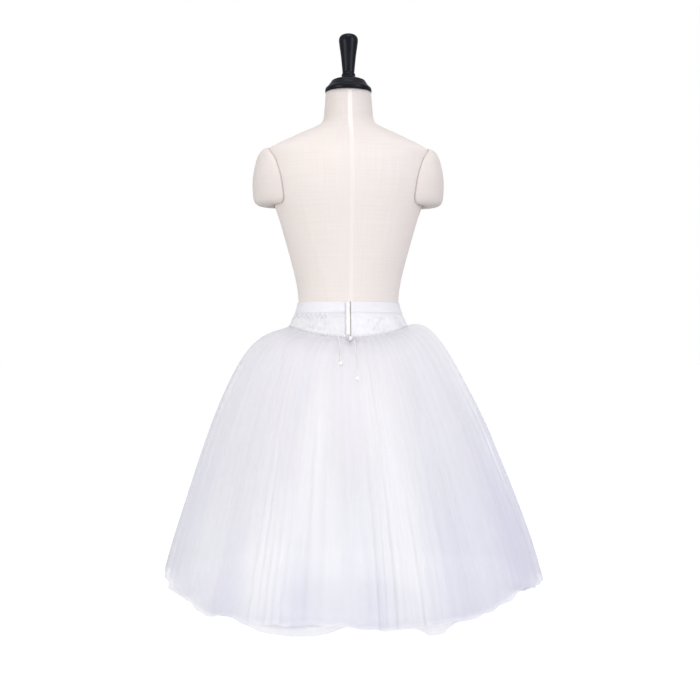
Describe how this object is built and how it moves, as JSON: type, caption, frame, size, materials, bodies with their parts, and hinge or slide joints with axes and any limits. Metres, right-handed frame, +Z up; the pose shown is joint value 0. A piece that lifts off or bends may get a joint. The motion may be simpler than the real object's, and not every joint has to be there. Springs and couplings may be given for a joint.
{
  "type": "rehearsal skirt on dress form",
  "caption": "Full gathered tulle rehearsal skirt with flat waistband and basque, open at centre back, standing on a limbless linen dress form with padded arm plates.",
  "frame": {"origin": "on the floor, at the middle of the stand's underside and on the form's vertical axis", "axes": "+Z up; -Y is the skirt's centre back with its opening; -X is the wearer's left; +Y is the wearer's front"},
  "size_m": [0.8381, 0.8476, 1.2646],
  "materials": {
    "linen": "plain-woven undyed linen, matt",
    "black_lacquer": "glossy black lacquer",
    "white_enamel": "satin white enamel",
    "band_cloth": "ribbed white elastic band, matt",
    "basque_cloth": "white cotton, slightly crinkled",
    "tulle": "fine white net, sheer, with a faint sheen",
    "tie_cord": "off-white cotton cord"
  },
  "bodies": {
    "root": {"form_torso": "linen", "arm_plate_left": "linen", "arm_plate_right": "linen", "neck_cap": "black_lacquer", "finial": "black_lacquer", "stand_base": "white_enamel", "stand_pole": "white_enamel", "waistband": "band_cloth", "basque_back_right": "basque_cloth", "basque_back_left": "basque_cloth", "basque_front": "basque_cloth", "placket_strip": "basque_cloth", "tulle_layer_1": "tulle", "tulle_layer_2": "tulle", "tulle_layer_3": "tulle", "tulle_layer_4": "tulle", "opening_tack": "tie_cord", "tie_left": "tie_cord", "tie_knot_left": "tie_cord", "tie_right": "tie_cord", "tie_knot_right": "tie_cord"}
  },
  "joints": []
}
